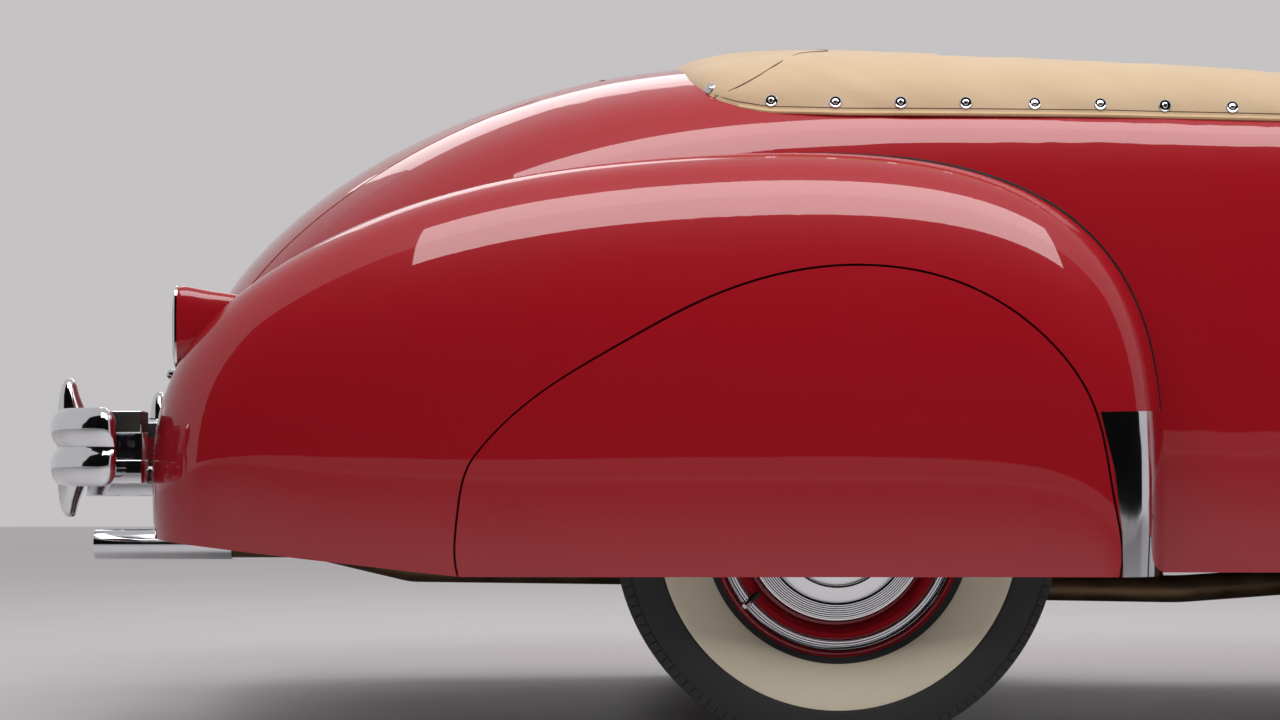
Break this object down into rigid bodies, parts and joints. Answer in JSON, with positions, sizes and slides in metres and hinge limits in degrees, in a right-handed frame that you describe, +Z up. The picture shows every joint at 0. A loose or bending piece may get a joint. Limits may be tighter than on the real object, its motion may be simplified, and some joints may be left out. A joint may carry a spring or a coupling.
{
  "type": "classic convertible",
  "caption": "Classic two-door convertible with pontoon fenders, skirted rear wheels, folded top under a fabric boot and bright bumpers; doors, hood, trunk lid, wheels and steering move.",
  "frame": {"origin": "on the ground, under the centre of the car, midway between the bumper guards", "axes": "+X forward, +Y to the car's left, +Z up"},
  "size_m": [5.4698, 1.9156, 1.3457],
  "materials": {
    "body_paint": "high gloss",
    "wheel_paint": "gloss, with bright rings and cap",
    "chrome_trim": "polished",
    "chassis_black": "satin black",
    "clear_glass": "clear",
    "lamp_glass": "clear, fluted",
    "dash_paint": "gloss",
    "wheel_plastic": "gloss ivory",
    "seat_leather": "satin tan",
    "canvas": "matt woven",
    "engine_paint": "satin",
    "exhaust_steel": "dull, heat browned",
    "tyre_rubber": "matt, with a white side wall"
  },
  "bodies": {
    "body": {"frame_rails": "chassis_black", "cross_members": "chassis_black", "floor_pan": "chassis_black", "wheelhouses": "chassis_black", "cowl": "body_paint", "front_panel": "body_paint", "grille": "chrome_trim", "rear_deck": "body_paint", "windscreen_frame": "chrome_trim", "windscreen_glass": "clear_glass", "dashboard": "dash_paint", "front_seat": "seat_leather", "rear_seat": "seat_leather", "top_boot": "canvas", "front_bumper": "chrome_trim", "rear_bumper": "chrome_trim", "headlamps": "lamp_glass", "tail_lamps": "body_paint", "engine": "engine_paint", "radiator": "chassis_black", "driveshaft": "chassis_black", "rear_axle": "chassis_black", "leaf_springs": "chassis_black", "front_suspension": "chassis_black", "fuel_tank": "chassis_black", "exhaust": "exhaust_steel", "exhaust_tip": "chrome_trim", "stone_guards": "chrome_trim", "quarter_panel_left": "body_paint", "rear_fender_left": "body_paint", "fender_skirt_left": "body_paint", "front_fender_left": "body_paint", "quarter_panel_right": "body_paint", "rear_fender_right": "body_paint", "fender_skirt_right": "body_paint", "front_fender_right": "body_paint"},
    "door_left": {"door_left": "body_paint"},
    "door_right": {"door_right": "body_paint"},
    "hood": {"hood": "body_paint"},
    "trunk_lid": {"trunk_lid": "body_paint"},
    "steering_wheel": {"steering_wheel": "wheel_plastic"},
    "steered_hub_left": {"knuckle_left": "chassis_black"},
    "steered_hub_right": {"knuckle_right": "chassis_black"},
    "wheel_front_left": {"tyre_front_left": "tyre_rubber", "wheel_front_left": "wheel_paint"},
    "wheel_front_right": {"tyre_front_right": "tyre_rubber", "wheel_front_right": "wheel_paint"},
    "wheel_rear_left": {"tyre_rear_left": "tyre_rubber", "wheel_rear_left": "wheel_paint"},
    "wheel_rear_right": {"tyre_rear_right": "tyre_rubber", "wheel_rear_right": "wheel_paint"}
  },
  "joints": [
    {"name": "door_left_hinge", "type": "hinge", "parent": "body", "child": "door_left", "pos_m": [0.618, 0.754, 0.69], "axis": [0, 0, -1], "range_deg": [0, 65]},
    {"name": "door_right_hinge", "type": "hinge", "parent": "body", "child": "door_right", "pos_m": [0.618, -0.754, 0.69], "axis": [0, 0, 1], "range_deg": [0, 65]},
    {"name": "hood_hinge", "type": "hinge", "parent": "body", "child": "hood", "pos_m": [0.803, 0, 1.1595], "axis": [0, -1, 0], "range_deg": [0, 45]},
    {"name": "trunk_hinge", "type": "hinge", "parent": "body", "child": "trunk_lid", "pos_m": [-1.7541, 0, 1.2353], "axis": [0, 1, 0], "range_deg": [0, 55]},
    {"name": "steering_wheel_turn", "type": "hinge", "parent": "body", "child": "steering_wheel", "pos_m": [0.261, 0.37, 0.985], "axis": [-0.7916, 0, 0.611], "range_deg": [-480, 480]},
    {"name": "steer_left", "type": "hinge", "parent": "body", "child": "steered_hub_left", "pos_m": [1.887, 0.655, 0.38], "axis": [0, 0, 1], "range_deg": [-30, 30]},
    {"name": "steer_right", "type": "hinge", "parent": "body", "child": "steered_hub_right", "pos_m": [1.887, -0.655, 0.38], "axis": [0, 0, 1], "range_deg": [-30, 30]},
    {"name": "wheel_front_left_spin", "type": "hinge", "parent": "steered_hub_left", "child": "wheel_front_left", "pos_m": [1.887, 0.775, 0.38], "axis": [0, 1, 0], "continuous": true},
    {"name": "wheel_front_right_spin", "type": "hinge", "parent": "steered_hub_right", "child": "wheel_front_right", "pos_m": [1.887, -0.775, 0.38], "axis": [0, 1, 0], "continuous": true},
    {"name": "wheel_rear_left_spin", "type": "hinge", "parent": "body", "child": "wheel_rear_left", "pos_m": [-1.339, 0.775, 0.38], "axis": [0, 1, 0], "continuous": true},
    {"name": "wheel_rear_right_spin", "type": "hinge", "parent": "body", "child": "wheel_rear_right", "pos_m": [-1.339, -0.775, 0.38], "axis": [0, 1, 0], "continuous": true}
  ],
  "couplings": [
    {"joint": "steer_right", "follows": "steer_left", "ratio": 1},
    {"joint": "steering_wheel_turn", "follows": "steer_left", "ratio": 16}
  ]
}
